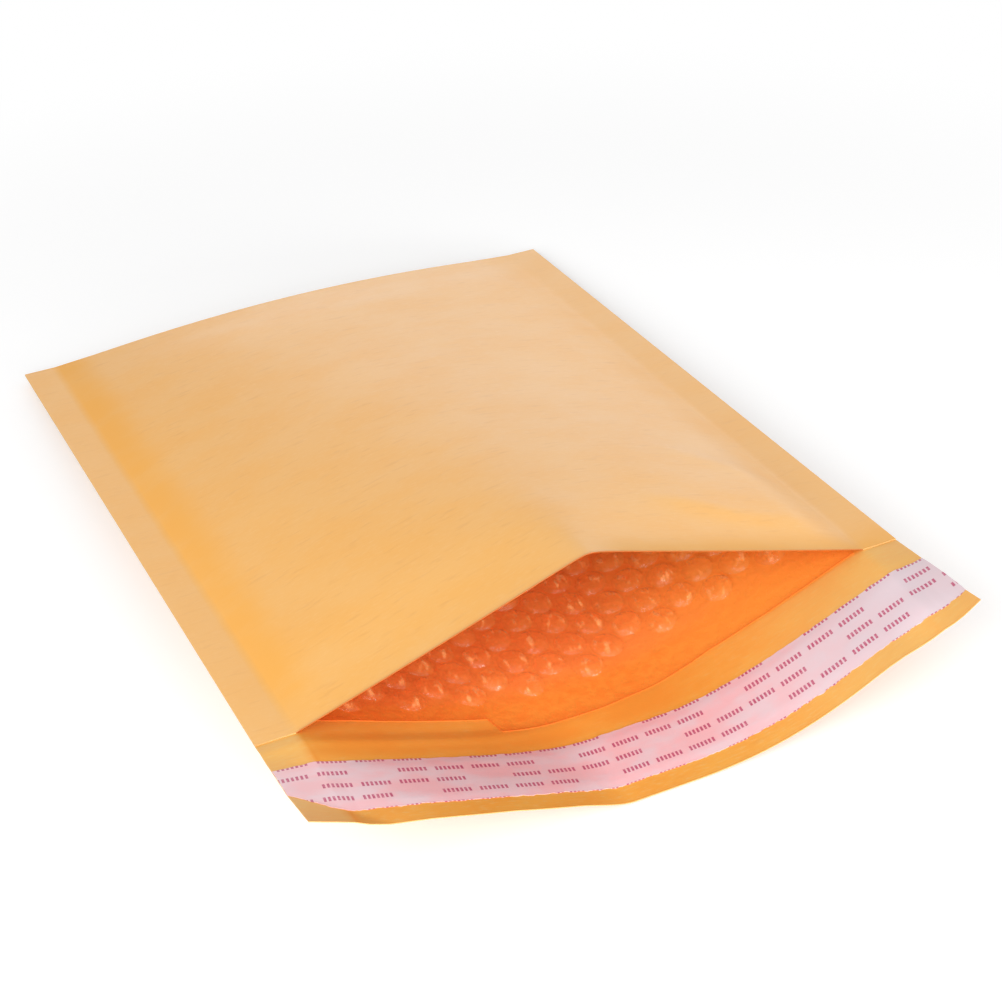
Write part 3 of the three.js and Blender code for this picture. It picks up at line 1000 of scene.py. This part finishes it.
def make_floor():
    """A wide pale floor that shows white to the camera and keeps the object's soft shadow."""
    mesh = bpy.data.meshes.new("floor")
    corners = [(-1, -1), (1, -1), (1, 1), (-1, 1)]
    points = [(x * FLOOR_REACH, y * FLOOR_REACH, -FLOOR_DROP) for x, y in corners]
    mesh.from_pydata(points, [], [(0, 1, 2, 3)])
    floor = bpy.data.objects.new("floor", mesh)
    bpy.context.scene.collection.objects.link(floor)
    shader = Shader("floor")
    path = shader.node("ShaderNodeLightPath").outputs
    seen = shader.math("MAXIMUM", path["Is Camera Ray"], path["Is Glossy Ray"])
    seen = shader.math("MAXIMUM", seen, path["Is Transmission Ray"])
    place = shader.node("ShaderNodeTexCoord").outputs["Object"]
    away = shader.node("ShaderNodeVectorMath", {0: place}, operation="LENGTH").outputs["Value"]
    white = shader.times(seen, shader.ramp(away, WHITE_FROM, WHITE_FULL))
    glow = shader.sum_of(white, 1 - NEAR_GLOW, shader.times(seen, NEAR_GLOW))
    shader.set(Base_Color=shader.mix(white, (0.8, 0.8, 0.8, 1), (0, 0, 0, 1)))
    shader.set(Roughness=0.9, Specular_IOR_Level=0.0)
    shader.set(Emission_Color=(1, 1, 1, 1), Emission_Strength=glow)
    mesh.materials.append(shader.material)


def make_world():
    """Plain soft light from all round, which looks white itself."""
    world = bpy.data.worlds.new("studio")
    bpy.context.scene.world = world
    world.use_nodes = True
    tree = world.node_tree
    sky = tree.nodes["Background"]
    sky.inputs["Color"].default_value = (1, 1, 1, 1)
    path = tree.nodes.new("ShaderNodeLightPath")
    seen = path.outputs["Is Camera Ray"]
    for also in ("Is Glossy Ray", "Is Transmission Ray"):
        either = tree.nodes.new("ShaderNodeMath")
        either.operation = "MAXIMUM"
        tree.links.new(seen, either.inputs[0])
        tree.links.new(path.outputs[also], either.inputs[1])
        seen = either.outputs[0]
    strength = tree.nodes.new("ShaderNodeMapRange")
    strength.inputs["To Min"].default_value = SKY_LIGHT
    strength.inputs["To Max"].default_value = 1.0
    tree.links.new(seen, strength.inputs["Value"])
    tree.links.new(strength.outputs[0], sky.inputs["Strength"])


def make_lamp(name, azimuth, elevation, distance, size, watts):
    """A large soft lamp that looks at the object."""
    lamp = bpy.data.lights.new(name, "AREA")
    lamp.shape = "RECTANGLE"
    lamp.size, lamp.size_y = size
    lamp.energy = watts
    away = stage_direction(azimuth, elevation)
    placed = bpy.data.objects.new(name, lamp)
    placed.location = distance * away
    placed.rotation_mode = "QUATERNION"
    placed.rotation_quaternion = (-away).to_track_quat("-Z", "Y")
    bpy.context.scene.collection.objects.link(placed)


def make_camera():
    """The photograph's viewpoint: a tilted view from the front left."""
    turn, roll = math.radians(CAMERA_AZIMUTH), math.radians(CAMERA_ROLL)
    back = stage_direction(CAMERA_AZIMUTH, CAMERA_ELEVATION)
    level = Vector((math.cos(turn), math.sin(turn), 0))
    upright = back.cross(level)
    right = level * math.cos(roll) + upright * math.sin(roll)
    up = upright * math.cos(roll) - level * math.sin(roll)
    place = back * CAMERA_DISTANCE + right * CAMERA_RIGHT + up * CAMERA_UP
    lens = bpy.data.cameras.new("camera")
    lens.lens = CAMERA_LENS
    lens.sensor_width = CAMERA_SENSOR
    lens.clip_start = 0.01
    lens.clip_end = 50
    camera = bpy.data.objects.new("camera", lens)
    turned = Matrix((right, up, back)).transposed().to_4x4()
    camera.matrix_world = Matrix.Translation(place) @ turned
    bpy.context.scene.collection.objects.link(camera)
    bpy.context.scene.camera = camera


make_floor()
make_world()
for lamp_values in LAMPS:
    make_lamp(*lamp_values)
make_camera()
bpy.context.scene.view_settings.view_transform = "Standard"
